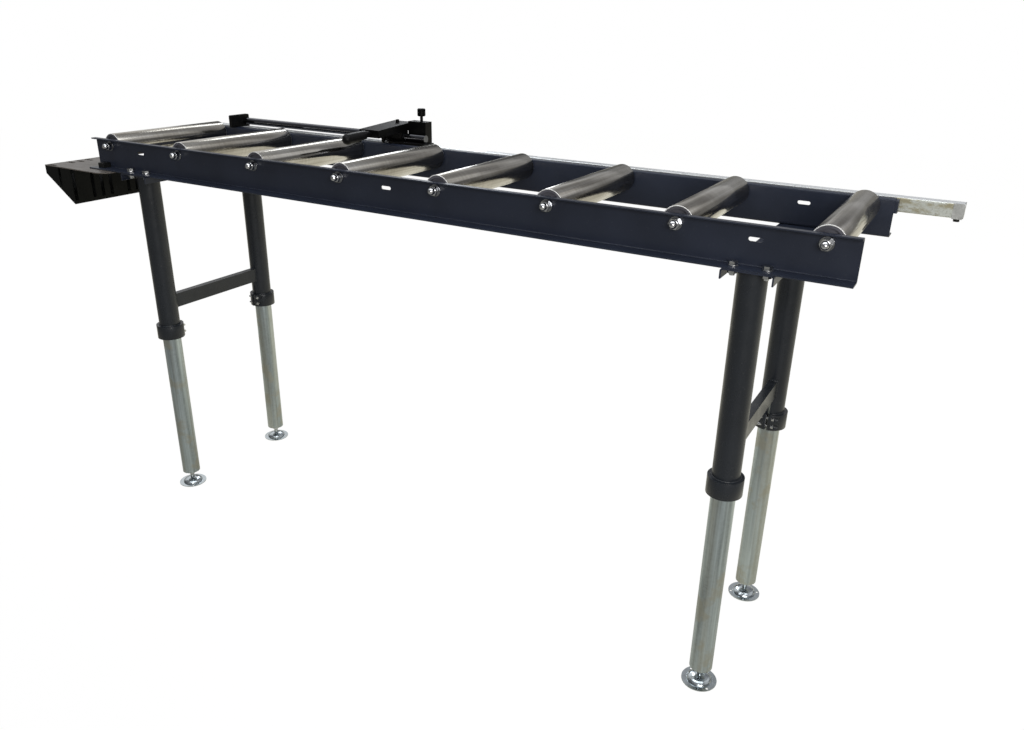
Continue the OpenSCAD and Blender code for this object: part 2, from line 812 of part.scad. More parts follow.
// Knurled screw that draws the jaw up against the stop rail
module thumb_screw() {
    ring_z1 = stop_tube_z0 - jaw_t - screw_ring_gap;
    head_z0 = stop_tube_z0 + block_h + screw_head_gap;
    color(black) place() translate([block_x0 + screw_x, screw_y, 0]) {
        translate([0, 0, ring_z1 - screw_ring_h])
            cylinder(d = screw_ring_d, h = screw_ring_h, $fn = fn_small);
        translate([0, 0, ring_z1 - screw_ring_h])
            cylinder(d = screw_d, h = head_z0 - ring_z1 + screw_ring_h, $fn = fn_small);
        translate([0, 0, head_z0]) rotate_extrude($fn = fn_large) polygon([
            [0, 0],
            [screw_head_d / 2 - screw_head_chamfer, 0],
            [screw_head_d / 2, screw_head_chamfer],
            [screw_head_d / 2, screw_head_h - screw_head_chamfer],
            [screw_head_d / 2 - screw_head_chamfer, screw_head_h],
            [0, screw_head_h]
        ]);
    }
}

module guide_rod() {
    color(zinc) place() translate([rod_x0, rod_y, rod_z]) rotate([0, 90, 0])
        cylinder(d = rod_d, h = rod_x1 - rod_x0, $fn = fn_large);
}

// Right-hand face of the stop arm on the rod's axis
module at_arm() {
    place() translate([arm_x1, rod_y, rod_z]) children();
}

// Bush that slides on the rod, with a thin lip at either end
module stop_carriage() {
    lip_x = bush_lip_gap + bush_lip_t;
    color(black) at_arm() rotate([0, -90, 0]) difference() {
        union() {
            translate([0, 0, -lip_x]) cylinder(d = bush_d, h = arm_w + 2 * lip_x, $fn = fn_large);
            translate([0, 0, -lip_x]) cylinder(d = bush_lip_d, h = bush_lip_t, $fn = fn_large);
            translate([0, 0, arm_w + bush_lip_gap]) cylinder(d = bush_lip_d, h = bush_lip_t, $fn = fn_large);
        }
        translate([0, 0, -lip_x - cut])
            cylinder(d = rod_d + rod_play, h = arm_w + 2 * lip_x + 2 * cut, $fn = fn_large);
    }
}

module tilted() {
    at_arm() rotate([arm_tilt, 0, 0]) children();
}

module stop_arm() {
    // Height of the rest pin's ball below the rod's axis, square to the beam
    ball_z = (rest_pin_gap + rest_pin_d / 2 - rod_gap - rod_d / 2 + rest_pin_y * sin(arm_tilt)) / cos(arm_tilt);
    color(black) tilted() {
        difference() {
            union() {
                rotate([0, -90, 0]) cylinder(d = hub_d, h = arm_w, $fn = fn_large);
                translate([-arm_w, -hub_r, 0]) cube([arm_w, hub_d, hub_r + arm_t / 2]);
                translate([-arm_w, -arm_front, hub_r]) cube([arm_w, arm_front + arm_rear, arm_t]);
            }
            translate([cut, 0, 0]) rotate([0, -90, 0])
                cylinder(d = bush_d + rod_play, h = arm_w + 2 * cut, $fn = fn_large);
            translate([-arm_screw_x, arm_screw_y, hub_r + arm_t - arm_screw_depth])
                cylinder(d = arm_screw_d + thread_play, h = arm_screw_depth + cut, $fn = fn_small);
            translate([-arm_w / 2, -arm_front - cut, arm_axis_h]) rotate([-90, 0, 0])
                cylinder(d = neck_d, h = neck_socket + cut, $fn = fn_small);
        }
        translate([-rest_pin_x, -rest_pin_y, ball_z]) {
            cylinder(d = rest_pin_d, h = hub_r - ball_z + arm_t / 4, $fn = fn_small);
            sphere(d = rest_pin_d, $fn = fn_small);
        }
    }
}

module arm_screw() {
    color(black) tilted() translate([-arm_screw_x, arm_screw_y, hub_r + arm_t]) difference() {
        union() {
            cylinder(d = arm_screw_head_d, h = arm_screw_head_h, $fn = fn_small);
            translate([0, 0, -arm_screw_depth]) cylinder(d = arm_screw_d, h = arm_screw_depth, $fn = fn_small);
        }
        translate([0, 0, arm_screw_head_h - socket_depth]) hexagon(socket_flats, socket_depth + cut);
    }
}

// Turned grip; its outline runs from the neck to the rounded end
module stop_handle() {
    end_r = grip_d / 2;
    color(black) tilted() translate([-arm_w / 2, -arm_front, arm_axis_h]) rotate([90, 0, 0]) {
        translate([0, 0, -neck_socket]) cylinder(d = neck_d, h = neck_socket + neck_len, $fn = fn_small);
        translate([0, 0, neck_len]) rotate_extrude($fn = fn_large) polygon(concat(
            [[0, 0], [neck_d / 2, 0]],
            [for (k = [0 : grip_steps]) [
                grip_d0 / 2 + (grip_d - grip_d0) / 2 * sin(90 * k / grip_steps),
                (grip_len - end_r) * (1 + k * (grip_steps - 1) / grip_steps) / grip_steps
            ]],
            [for (k = [1 : grip_steps]) [
                end_r * cos(90 * k / grip_steps),
                grip_len - end_r + end_r * sin(90 * k / grip_steps)
            ]]
        ));
    }
}

// Outline of the tray plate, with one corner rounded off
module tray_outline() {
    difference() {
        square([tray_len, tray_depth]);
        translate([tray_len - tray_corner_r, 0]) difference() {
            translate([0, -cut]) square([tray_corner_r + cut, tray_corner_r + cut]);
            translate([0, tray_corner_r]) circle(r = tray_corner_r, $fn = fn_large);
        }
    }
}

// Whether the tray has slot number k; every fourth is left out
function slot_on(k) = k % 4 != 1;

module tray_plate() {
    color(steel) place() difference() {
        translate([tray_x0, tray_y0, trough_z1]) linear_extrude(height = tray_t) tray_outline();
        for (k = [0 : slot_count]) if (slot_on(k))
            translate([tray_x0 + tray_band_inset + tray_band_len / 2,
                tray_y0 + tray_slot_edge + k * tray_slot_pitch, trough_z1 + tray_t / 2])
                slot_x(tray_band_len - 2 * tray_band_inset, tray_slot_w, tray_t + 2 * cut);
        translate([tray_x0 + clip_block_x + clip_block_w / 2, -web_y - clip_block_y / 2, trough_z1 - cut])
            cylinder(d = clip_screw_d + leg_bolt_play, h = tray_t + 2 * cut, $fn = fn_small);
    }
}

// Outline of the trough in X-Z, seen from the front
module trough_2d(inset) {
    polygon([
        [inset, trough_h - tray_t + (inset > 0 ? cut : 0)],
        [inset, trough_h - trough_lip_h + inset / 2],
        [trough_len - inset, inset * trough_floor_share],
        [trough_len - inset, trough_h - tray_t + (inset > 0 ? cut : 0)]
    ]);
}

module tray_body() {
    color(tray_green) place() difference() {
        translate([tray_x0, tray_y1, trough_z0]) rotate([90, 0, 0])
            linear_extrude(height = tray_depth) trough_2d(0);
        translate([tray_x0, tray_y1 - trough_t, trough_z0]) rotate([90, 0, 0])
            linear_extrude(height = tray_depth - 2 * trough_t) trough_2d(trough_t);
        for (k = [0 : slot_count]) if (slot_on(k))
            translate([trough_x1 - trough_t - cut,
                tray_y0 + tray_slot_edge - tray_slot_w / 2 + k * tray_slot_pitch, trough_z0 + tray_slot_z0])
                cube([trough_t + 2 * cut, tray_slot_w, trough_h]);
        for (y = [tray_y0 - cut, tray_y1 - trough_t - cut])
            translate([tray_x0 + tray_end_slot_x - tray_slot_w / 2, y, trough_z0 + tray_end_slot_z0])
                cube([tray_slot_w, trough_t + 2 * cut, trough_h]);
    }
}

// Block on the flange and the screw that holds the tray under it
module tray_clip() {
    clip_x = tray_x0 + clip_block_x;
    color(black) place() {
        along_x(clip_x, clip_block_w) translate([-web_y, rail_z0 + rail_t]) mirror([1, 0])
            web_block_2d(clip_block_y, clip_block_h - rail_t);
        translate([clip_x + clip_block_w / 2, -web_y - clip_block_y / 2, 0]) {
            translate([0, 0, trough_z1]) cylinder(d = clip_screw_d, h = rail_t + tray_t, $fn = fn_small);
            translate([0, 0, trough_z1 - clip_screw_head_h]) hexagon(clip_screw_flats, clip_screw_head_h);
        }
    }
}

front_rail();
rear_rail();
cross_channel(-1);  // left_cross_channel
cross_channel(1);  // right_cross_channel
outer_leg(-1, -1);  // outer_leg_front_left
outer_leg(1, -1);  // outer_leg_front_right
outer_leg(-1, 1);  // outer_leg_rear_left
outer_leg(1, 1);  // outer_leg_rear_right
cross_bars();
clamp_collars();
collar_screws();
inner_leg(-1, -1);  // inner_leg_front_left
inner_leg(1, -1);  // inner_leg_front_right
inner_leg(-1, 1);  // inner_leg_rear_left
inner_leg(1, 1);  // inner_leg_rear_right
leg_insert(-1, -1);  // leg_insert_front_left
leg_insert(1, -1);  // leg_insert_front_right
leg_insert(-1, 1);  // leg_insert_rear_left
leg_insert(1, 1);  // leg_insert_rear_right
levelling_foot(-1, -1);  // levelling_foot_front_left
levelling_foot(1, -1);  // levelling_foot_front_right
levelling_foot(-1, 1);  // levelling_foot_rear_left
levelling_foot(1, 1);  // levelling_foot_rear_right
roller_tube(1);  // roller_tube_1
roller_tube(2);  // roller_tube_2
roller_tube(3);  // roller_tube_3
roller_tube(4);  // roller_tube_4
roller_tube(5);  // roller_tube_5
roller_tube(6);  // roller_tube_6
roller_tube(7);  // roller_tube_7
roller_tube(8);  // roller_tube_8
roller_caps(1);  // roller_caps_1
roller_caps(2);  // roller_caps_2
roller_caps(3);  // roller_caps_3
roller_caps(4);  // roller_caps_4
roller_caps(5);  // roller_caps_5
roller_caps(6);  // roller_caps_6
roller_caps(7);  // roller_caps_7
roller_caps(8);  // roller_caps_8
roller_axles();
bearing_inner_rings();
axle_nuts();
axle_washers();
leg_bolts();
leg_nuts();
stop_rail();
stop_rail_spacers();
stop_rail_end_fittings();
rod_support_left();
rod_support_right();
clamp_jaw();
guide_rod();
stop_carriage();
stop_arm();
stop_handle();
arm_screw();
thumb_screw();
tray_body();
tray_plate();
tray_clip();
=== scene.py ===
import math

import bmesh
import bpy
from mathutils import Matrix, Vector


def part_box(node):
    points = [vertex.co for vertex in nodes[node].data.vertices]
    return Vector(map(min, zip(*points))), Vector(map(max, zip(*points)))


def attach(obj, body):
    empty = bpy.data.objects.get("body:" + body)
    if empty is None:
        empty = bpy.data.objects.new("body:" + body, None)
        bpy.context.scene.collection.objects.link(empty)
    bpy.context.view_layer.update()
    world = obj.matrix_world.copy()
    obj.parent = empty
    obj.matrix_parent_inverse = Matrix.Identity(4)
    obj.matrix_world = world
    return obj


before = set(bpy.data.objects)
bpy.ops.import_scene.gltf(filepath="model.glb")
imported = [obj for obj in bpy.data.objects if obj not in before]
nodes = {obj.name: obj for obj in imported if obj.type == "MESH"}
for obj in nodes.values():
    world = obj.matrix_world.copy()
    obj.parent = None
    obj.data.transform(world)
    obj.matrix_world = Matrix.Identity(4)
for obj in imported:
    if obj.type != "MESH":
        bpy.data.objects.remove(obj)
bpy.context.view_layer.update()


def low(name):
    return Vector(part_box(name)[0])


def high(name):
    return Vector(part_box(name)[1])


def middle(name):
    return (low(name) + high(name)) / 2


def half_width(name):
    return (high(name).x - low(name).x) / 2


CORNERS = ("front_left", "front_right", "rear_left", "rear_right")
ROLLERS = range(1, 9)

# Rounded edges: how sharp an edge has to be, and how long on the rails
SHARP_ANGLE = math.radians(35)
LONG_EDGE = 0.1
RAIL_EDGE = 0.0008
SAME_POINT = 0.00001
SAME_PLACES = 5

# Clip on the stop rail's right end: its length along the rail and the thickness of its sheet
CLIP_REACH = 0.0195
CLIP_SHEET = 0.0014

# Weld beads: radius, distance of the middle from the tube, gap beside the slit, and how finely
# they are made. Lumps are (share of the radius, radians per point).
BEAD = 0.0016
BEAD_OFF = BEAD / 3
BEAD_GAP = math.radians(12)
COLLAR_BEAD_POINTS = 70
TOP_BEAD_POINTS = 72
BAR_BEAD_STEP = 0.002
BAR_BEAD_LEAST_STEPS = 4
BEAD_SIDES = 8
BAR_BEAD_SIDES = 6
LUMPS = ((0.16, 1.9), (0.10, 0.73))
NEAR_VERTICAL = 0.2

# Seal and outer race of a bearing: radii, widths of their lips, and how far they stand out
RING_RADIUS = middle("roller_tube_1").x - low("bearing_inner_rings").x
SEAL_GAP = 0.0002
SEAL_IN = RING_RADIUS + SEAL_GAP
SEAL_OUT = 0.0135
RACE_OUT = 0.0158
SEAL_LIP = 0.0004
RACE_LIP = 0.0003
SEAL_DEPTH = 0.0008
SEAL_LIP_DEPTH = SEAL_DEPTH * 1.3
SEAL_DISH_DEPTH = SEAL_DEPTH * 0.6
RACE_DEPTH = SEAL_DEPTH * 1.5
LATHE_STEPS = 48

# Thread on a foot's stud, above the foot's dome; its outline is (out, up) points
DOME_TOP = 0.0152
THREAD_PITCH = 0.00175
THREAD_HEIGHT = 0.0455
THREAD_RADIUS = 0.00603
THREAD_STEPS = 24
THREAD_OUTLINE = ((-0.0002, -0.00042), (0.0, -0.00034), (0.0, 0.00034), (-0.0002, 0.00042))

# Knurl on the thumb screw's head: ridges with a foot inside the head, below a plain rim
KNURL_COUNT = 48
KNURL_OUT = 0.0005
KNURL_IN = 0.0004
KNURL_HALF_SHARE = 0.3
KNURL_RIM = 0.0018
KNURL_HEIGHT = 0.0165


class Graph:
    """Short calls that add shader nodes to a node tree and link them."""

    def __init__(self, tree):
        self.tree = tree

    def add(self, kind, **values):
        node = self.tree.nodes.new(kind)
        for key, value in values.items():
            setattr(node, key, value)
        return node

    def feed(self, socket, value):
        if isinstance(value, bpy.types.NodeSocket):
            self.tree.links.new(value, socket)
        elif isinstance(value, tuple):
            socket.default_value = (*value, 1)
        else:
            socket.default_value = value

    def split(self, vector):
        node = self.add("ShaderNodeSeparateXYZ")
        self.feed(node.inputs[0], vector)
        return node.outputs

    def math(self, op, a, b):
        node = self.add("ShaderNodeMath", operation=op)
        self.feed(node.inputs[0], a)
        self.feed(node.inputs[1], b)
        return node.outputs[0]

    def fit(self, value, lo, hi, a=0.0, b=1.0, kind="LINEAR"):
        """Maps lo to hi onto a to b."""
        node = self.add("ShaderNodeMapRange", interpolation_type=kind)
        for socket, v in zip(node.inputs, (value, lo, hi, a, b)):
            self.feed(socket, v)
        return node.outputs["Result"]

    def smooth_fit(self, value, lo, hi, a=0.0, b=1.0):
        return self.fit(value, lo, hi, a, b, "SMOOTHSTEP")

    def mix(self, share, a, b):
        """Blends two colours."""
        node = self.add("ShaderNodeMix", data_type="RGBA")
        for k, v in ((0, share), (6, a), (7, b)):
            self.feed(node.inputs[k], v)
        return node.outputs[2]

    def blend(self, share, a, b):
        """Blends two numbers."""
        node = self.add("ShaderNodeMix", data_type="FLOAT")
        for k, v in ((0, share), (2, a), (3, b)):
            self.feed(node.inputs[k], v)
        return node.outputs[0]

    def mix_shaders(self, share, a, b):
        node = self.add("ShaderNodeMixShader")
        for socket, v in zip(node.inputs, (share, a, b)):
            self.feed(socket, v)
        return node.outputs[0]

    def ramp(self, value, stops):
        """Colours along a value, from stops of (place, colour)."""
        node = self.add("ShaderNodeValToRGB")
        elements = node.color_ramp.elements
        while len(elements) < len(stops):
            elements.new(0.5)
        for element, (place, color) in zip(elements, stops):
            element.position = place
            element.color = (*color, 1)
        self.feed(node.inputs["Fac"], value)
        return node.outputs["Color"]

    def backdrop_share(self, shiny_share):
        """1 for what the camera sees, and a share of that for reflections and refractions."""
        ray = self.add("ShaderNodeLightPath").outputs
        shiny = self.math("MAXIMUM", ray["Is Glossy Ray"], ray["Is Transmission Ray"])
        shiny = self.math("MULTIPLY", shiny, shiny_share)
        return self.math("MAXIMUM", ray["Is Camera Ray"], shiny)


class Shader(Graph):
    """A principled material with short calls for its patterns, whose scales are cells per metre."""

    def __init__(self, name, color, rough, metal, specular=0.5):
        self.material = bpy.data.materials.new(name)
        self.material.use_nodes = True
        super().__init__(self.material.node_tree)
        self.surface = self.tree.nodes["Principled BSDF"]
        self.place = self.add("ShaderNodeTexCoord").outputs
        self.color(color)
        self.rough(rough)
        self.metal(metal)
        self.feed(self.surface.inputs["Specular IOR Level"], specular)

    def color(self, value):
        self.feed(self.surface.inputs["Base Color"], value)

    def rough(self, value):
        self.feed(self.surface.inputs["Roughness"], value)

    def metal(self, value):
        self.feed(self.surface.inputs["Metallic"], value)

    def bump(self, value, strength, distance):
        node = self.add("ShaderNodeBump")
        node.inputs["Strength"].default_value = strength
        node.inputs["Distance"].default_value = distance
        self.feed(node.inputs["Height"], value)
        self.feed(self.surface.inputs["Normal"], node.outputs["Normal"])

    def axis(self, name):
        return self.split(self.place["Object"])[name]

    def facing(self, name):
        return self.split(self.place["Normal"])[name]

    def scaled(self, scale):
        node = self.add("ShaderNodeMapping")
        node.inputs["Scale"].default_value = scale
        self.feed(node.inputs["Vector"], self.place["Object"])
        return node.outputs["Vector"]

    def noise(self, scale, detail=3.0, rough=0.5):
        node = self.add("ShaderNodeTexNoise")
        node.inputs["Scale"].default_value = 1.0
        node.inputs["Detail"].default_value = detail
        node.inputs["Roughness"].default_value = rough
        self.feed(node.inputs["Vector"], self.scaled(scale))
        return node.outputs["Fac"]

    def flakes(self, scale):
        """Crystal flakes: one random grey for each cell."""
        node = self.add("ShaderNodeTexVoronoi")
        node.inputs["Scale"].default_value = 1.0
        self.feed(node.inputs["Vector"], self.scaled(scale))
        split = self.add("ShaderNodeSeparateColor")
        self.feed(split.inputs[0], node.outputs["Color"])
        return split.outputs[0]


def even(scale):
    return (scale, scale, scale)


def grey(shade):
    return (shade, shade, shade)


def tint(color, factor):
    return tuple(min(1.0, c * factor) for c in color)


def powder_coat(name, color, rough, dust, specular):
    """Powder coat: fine orange peel, soft clouds of shade and a trace of dust."""
    dust_color = grey(0.20)
    s = Shader(name, color, rough, metal=0.0, specular=specular)
    cloud = s.fit(s.noise(even(6.0)), 0.35, 0.65)
    base = s.mix(cloud, tint(color, 0.85), tint(color, 1.15))
    specks = s.fit(s.noise(even(210.0), detail=2.0), 0.68, 0.74, 0.0, dust)
    s.color(s.mix(specks, base, dust_color))
    s.rough(s.fit(s.noise(even(35.0)), 0.3, 0.7, rough - 0.05, rough + 0.07))
    s.bump(s.noise(even(800.0), detail=2.0), strength=0.10, distance=0.0003)
    return s.material


def roller_steel():
    """Drawn tube: fine lines along it, stains and faint rings; end faces coloured near white as a
    painted highlight.
    """
    dark, plain, pale = (0.29, 0.27, 0.235), (0.43, 0.41, 0.375), (0.58, 0.565, 0.54)
    # Near white for the end faces: a painted highlight for the bright rim at the tube ends.
    end_face_highlight = (0.88, 0.88, 0.87)
    s = Shader("roller_steel", (0.42, 0.40, 0.36), rough=0.2, metal=1.0)
    lines = s.noise((120.0, 1.1, 120.0), detail=4.0, rough=0.65)
    rings = s.noise((3.0, 150.0, 3.0))
    stain = s.noise((16.0, 6.0, 16.0), detail=4.0)
    shade = s.math("ADD", s.math("MULTIPLY", lines, 0.45), s.math("MULTIPLY", stain, 0.43))
    shade = s.math("ADD", shade, s.math("MULTIPLY", rings, 0.12))
    color = s.mix(s.fit(shade, 0.38, 0.5), dark, plain)
    color = s.mix(s.fit(shade, 0.5, 0.62), color, pale)
    end = s.math("GREATER_THAN", s.math("ABSOLUTE", s.facing("Y"), 0.0), 0.35)
    # Painted highlight: faces that look along the axis get the near white colour.
    s.color(s.mix(end, color, end_face_highlight))
    s.rough(s.math("ADD", s.fit(stain, 0.35, 0.65, 0.24, 0.13), s.math("MULTIPLY", end, 0.3)))
    s.metal(s.fit(end, 0.0, 1.0, 1.0, 0.35))
    s.bump(lines, strength=0.02, distance=0.0002)
    return s.material


def leg_zinc():
    """Galvanised tube: streaks along it, crystal flakes and dull warm stains."""
    base, stain = (0.40, 0.46, 0.48), (0.39, 0.375, 0.30)
    s = Shader("leg_zinc", base, rough=0.36, metal=0.9)
    streak = s.noise((110.0, 110.0, 2.5), detail=4.0, rough=0.6)
    band = s.noise((34.0, 34.0, 1.5), detail=2.0)
    dull = s.noise(even(11.0), detail=4.0, rough=0.6)
    color = s.mix(s.fit(streak, 0.36, 0.64), tint(base, 0.64), tint(base, 1.24))
    color = s.mix(s.fit(band, 0.46, 0.62, 0.0, 0.45), color, stain)
    color = s.mix(s.fit(s.flakes(even(170.0)), 0.0, 1.0, 0.0, 0.22), color, tint(base, 1.3))
    s.color(s.mix(s.fit(dull, 0.54, 0.60, 0.0, 0.55), color, stain))
    s.rough(s.fit(dull, 0.4, 0.65, 0.28, 0.46))
    s.bump(streak, strength=0.04, distance=0.0002)
    return s.material


def stop_rail_zinc():
    """Hot-dip zinc on the stop rail: warm grey clouds with spots, and a painted highlight that
    makes the top face near white.
    """
    warm, cool = (0.37, 0.345, 0.24), (0.62, 0.65, 0.61)
    # The second colour here is a painted highlight for the top face.
    spot_color, painted_top_highlight = (0.24, 0.22, 0.17), (0.86, 0.88, 0.90)
    s = Shader("mottled_zinc", (0.64, 0.63, 0.54), rough=0.4, metal=0.5)
    top = s.fit(s.facing("Z"), 0.6, 0.9)
    cloud = s.noise((26.0, 60.0, 60.0), detail=4.0, rough=0.65)
    spots = s.noise(even(260.0), rough=0.7)
    color = s.mix(s.fit(cloud, 0.42, 0.58), warm, cool)
    color = s.mix(s.fit(spots, 0.54, 0.68, 0.0, 0.55), color, spot_color)
    # Painted highlight: the face that looks up is coloured near white to stand in for light falling
    # on it.
    s.color(s.mix(top, color, painted_top_highlight))
    s.rough(s.math("SUBTRACT", s.fit(cloud, 0.4, 0.6, 0.46, 0.36), s.math("MULTIPLY", top, 0.12)))
    s.bump(spots, strength=0.05, distance=0.0003)
    return s.material


def plated(name, base, rough, dirt):
    """Zinc or chrome plating with a little dullness in patches and specks of dirt."""
    dirt_color = (0.12, 0.11, 0.10)
    s = Shader(name, base, rough, metal=1.0)
    patch = s.fit(s.noise(even(70.0)), 0.3, 0.7)
    specks = s.fit(s.noise(even(240.0), detail=2.0), 0.62, 0.72, 0.0, dirt)
    s.color(s.mix(specks, s.mix(patch, tint(base, 0.82), base), dirt_color))
    s.rough(s.fit(patch, 0.0, 1.0, rough, rough + 0.07))
    return s.material


def end_fittings():
    """Zinc for the stop rail's right plug and clip, black for the clip's knob and the left plug."""
    zinc, black = (0.52, 0.53, 0.52), (0.004, 0.004, 0.004)
    s = Shader("end_fittings", black, rough=0.4, metal=0.0, specular=0.3)
    right = s.math("GREATER_THAN", s.axis("X"), high("stop_rail").x - CLIP_REACH)
    above = s.math("GREATER_THAN", s.axis("Z"), low("stop_rail").z - CLIP_SHEET)
    clip = s.math("MULTIPLY", right, above)
    cloud = s.fit(s.noise(even(80.0), detail=4.0, rough=0.65), 0.35, 0.65)
    black_clouds = s.mix(cloud, tint(black, 0.8), tint(black, 1.2))
    zinc_clouds = s.mix(cloud, tint(zinc, 0.8), zinc)
    s.color(s.mix(clip, black_clouds, zinc_clouds))
    s.rough(s.fit(cloud, 0.0, 1.0, 0.36, 0.46))
    s.metal(s.math("MULTIPLY", clip, 0.5))
    return s.material


def moulded(name, color, rough, specular=0.3):
    """Moulded plastic with a fine grain."""
    s = Shader(name, color, rough, metal=0.0, specular=specular)
    s.color(s.mix(s.fit(s.noise(even(30.0)), 0.3, 0.7), tint(color, 0.8), tint(color, 1.25)))
    s.rough(s.fit(s.noise(even(60.0)), 0.3, 0.7, rough - 0.05, rough + 0.06))
    s.bump(s.noise(even(900.0), detail=2.0), strength=0.15, distance=0.0003)
    return s.material


def weld_metal(color):
    """Painted weld bead with ripples."""
    s = Shader("weld_bead", color, rough=0.34, metal=0.0)
    ripple = s.noise(even(420.0), detail=2.0)
    s.color(s.mix(ripple, tint(color, 0.7), tint(color, 1.4)))
    s.bump(ripple, strength=0.4, distance=0.0006)
    return s.material


RAIL_COLOR = (0.019, 0.024, 0.040)
LEG_COLOR = (0.016, 0.019, 0.024)
BLACK_COLOR = (0.0015, 0.0016, 0.0018)
TRAY_COLOR = (0.004, 0.0045, 0.004)
TRAY_TOP_COLOR = (0.12, 0.105, 0.092)

RAIL = powder_coat("rail_coat", RAIL_COLOR, rough=0.33, dust=0.06, specular=0.35)
LEG = powder_coat("leg_coat", LEG_COLOR, rough=0.30, dust=0.12, specular=0.4)
BLACK = powder_coat("black_finish", BLACK_COLOR, rough=0.42, dust=0.06, specular=0.12)
TRAY = powder_coat("tray_coat", TRAY_COLOR, rough=0.45, dust=0.12, specular=0.12)
TRAY_TOP = powder_coat("tray_top_coat", TRAY_TOP_COLOR, rough=0.34, dust=0.15, specular=0.35)
ROLLER = roller_steel()
LEG_ZINC = leg_zinc()
RAIL_ZINC = stop_rail_zinc()
END_FITTINGS = end_fittings()
ZINC = plated("zinc_plate", (0.60, 0.61, 0.62), rough=0.2, dirt=0.35)
CHROME = plated("bright_plate", (0.70, 0.71, 0.73), rough=0.08, dirt=0.3)
ROD = plated("rod_steel", (0.14, 0.145, 0.165), rough=0.06, dirt=0.1)
FOOT_ZINC = plated("foot_zinc", (0.55, 0.60, 0.63), rough=0.15, dirt=0.3)
WASHER_ZINC = plated("washer_zinc", (0.34, 0.35, 0.37), rough=0.14, dirt=0.3)
# Dark finish for the helical ridge on the studs: painted shade standing for the shadow in the
# thread's roots.
THREAD_GROOVE_SHADE = plated("thread", (0.16, 0.17, 0.18), rough=0.3, dirt=0.0)
CAP = moulded("roller_cap", (0.095, 0.095, 0.112), rough=0.32)
GRIP = moulded("grip", (0.004, 0.004, 0.0045), rough=0.40, specular=0.15)
KNOB = moulded("knob", (0.006, 0.006, 0.006), rough=0.38)
SEAL = moulded("bearing_seal", (0.010, 0.010, 0.010), rough=0.5)
WELD = weld_metal(LEG_COLOR)

looks = {
    "front_rail": RAIL,
    "rear_rail": RAIL,
    "left_cross_channel": RAIL,
    "right_cross_channel": RAIL,
    "cross_bars": LEG,
    "clamp_collars": LEG,
    "collar_screws": ZINC,
    "roller_axles": ZINC,
    "bearing_inner_rings": ZINC,
    "axle_nuts": CHROME,
    "axle_washers": WASHER_ZINC,
    "leg_bolts": ZINC,
    "leg_nuts": ZINC,
    "stop_rail": RAIL_ZINC,
    "stop_rail_spacers": RAIL,
    "stop_rail_end_fittings": END_FITTINGS,
    "rod_support_left": BLACK,
    "rod_support_right": BLACK,
    "clamp_jaw": BLACK,
    "guide_rod": ROD,
    "stop_carriage": BLACK,
    "stop_arm": BLACK,
    "stop_handle": GRIP,
    "arm_screw": BLACK,
    "thumb_screw": BLACK,
    "tray_body": TRAY,
    "tray_plate": TRAY_TOP,
    "tray_clip": KNOB,
}
for corner in CORNERS:
    looks["outer_leg_" + corner] = LEG
    looks["inner_leg_" + corner] = LEG_ZINC
    looks["leg_insert_" + corner] = ZINC
    looks["levelling_foot_" + corner] = FOOT_ZINC
for k in ROLLERS:
    looks[f"roller_tube_{k}"] = ROLLER
    looks[f"roller_caps_{k}"] = CAP

# Widths of the rounded edges that catch the light, apart from the rails' long edges
edge_widths = {
    "left_cross_channel": 0.0006,
    "right_cross_channel": 0.0006,
    "cross_bars": 0.0008,
    "clamp_collars": 0.0010,
    "rod_support_left": 0.0008,
    "rod_support_right": 0.0008,
    "clamp_jaw": 0.0008,
    "stop_arm": 0.0010,
    "axle_nuts": 0.0005,
    "axle_washers": 0.0004,
    "leg_bolts": 0.0004,
    "leg_nuts": 0.0004,
    "stop_rail_end_fittings": 0.0005,
    "tray_clip": 0.0006,
    "tray_body": 0.0004,
    "tray_plate": 0.0004,
}
for k in ROLLERS:
    edge_widths[f"roller_tube_{k}"] = 0.0008


def round_edges(obj, width, limit="ANGLE"):
    weld = obj.modifiers.new("join", "WELD")
    weld.merge_threshold = SAME_POINT
    bevel = obj.modifiers.new("edge", "BEVEL")
    bevel.width = width
    bevel.segments = 2
    bevel.limit_method = limit
    bevel.angle_limit = SHARP_ANGLE
    bevel.harden_normals = True


def edge_ends(points):
    return frozenset(tuple(round(c, SAME_PLACES) for c in point) for point in points)


def is_long_and_sharp(edge):
    if len(edge.link_faces) != 2 or edge.calc_length() <= LONG_EDGE:
        return False
    return edge.calc_face_angle() > SHARP_ANGLE


def mark_long_edges(obj):
    """Marks the long sharp edges of a sheet, so that its holes keep their shape."""
    bm = bmesh.new()
    bm.from_mesh(obj.data)
    bmesh.ops.remove_doubles(bm, verts=bm.verts, dist=SAME_POINT)
    long_edges = {edge_ends(v.co for v in e.verts) for e in bm.edges if is_long_and_sharp(e)}
    bm.free()
    marks = obj.data.attributes.new("bevel_weight_edge", "FLOAT", "EDGE")
    for edge in obj.data.edges:
        ends = edge_ends(obj.data.vertices[i].co for i in edge.vertices)
        marks.data[edge.index].value = 1.0 if ends in long_edges else 0.0


for name, obj in nodes.items():
    obj.data.materials.clear()
    obj.data.materials.append(looks[name])
    if name in edge_widths:
        round_edges(obj, edge_widths[name])
for name in ("front_rail", "rear_rail"):
    mark_long_edges(nodes[name])
    round_edges(nodes[name], RAIL_EDGE, "WEIGHT")


def piece(name, body, material, bm, smooth=True):
    """Turns a bmesh into a piece that rides on a body."""
    bmesh.ops.recalc_face_normals(bm, faces=bm.faces)
    mesh = bpy.data.meshes.new(name)
    bm.to_mesh(mesh)
    bm.free()
    for face in mesh.polygons:
        face.use_smooth = smooth
    mesh.materials.append(material)
    obj = bpy.data.objects.new(name, mesh)
    bpy.context.collection.objects.link(obj)
    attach(obj, body)


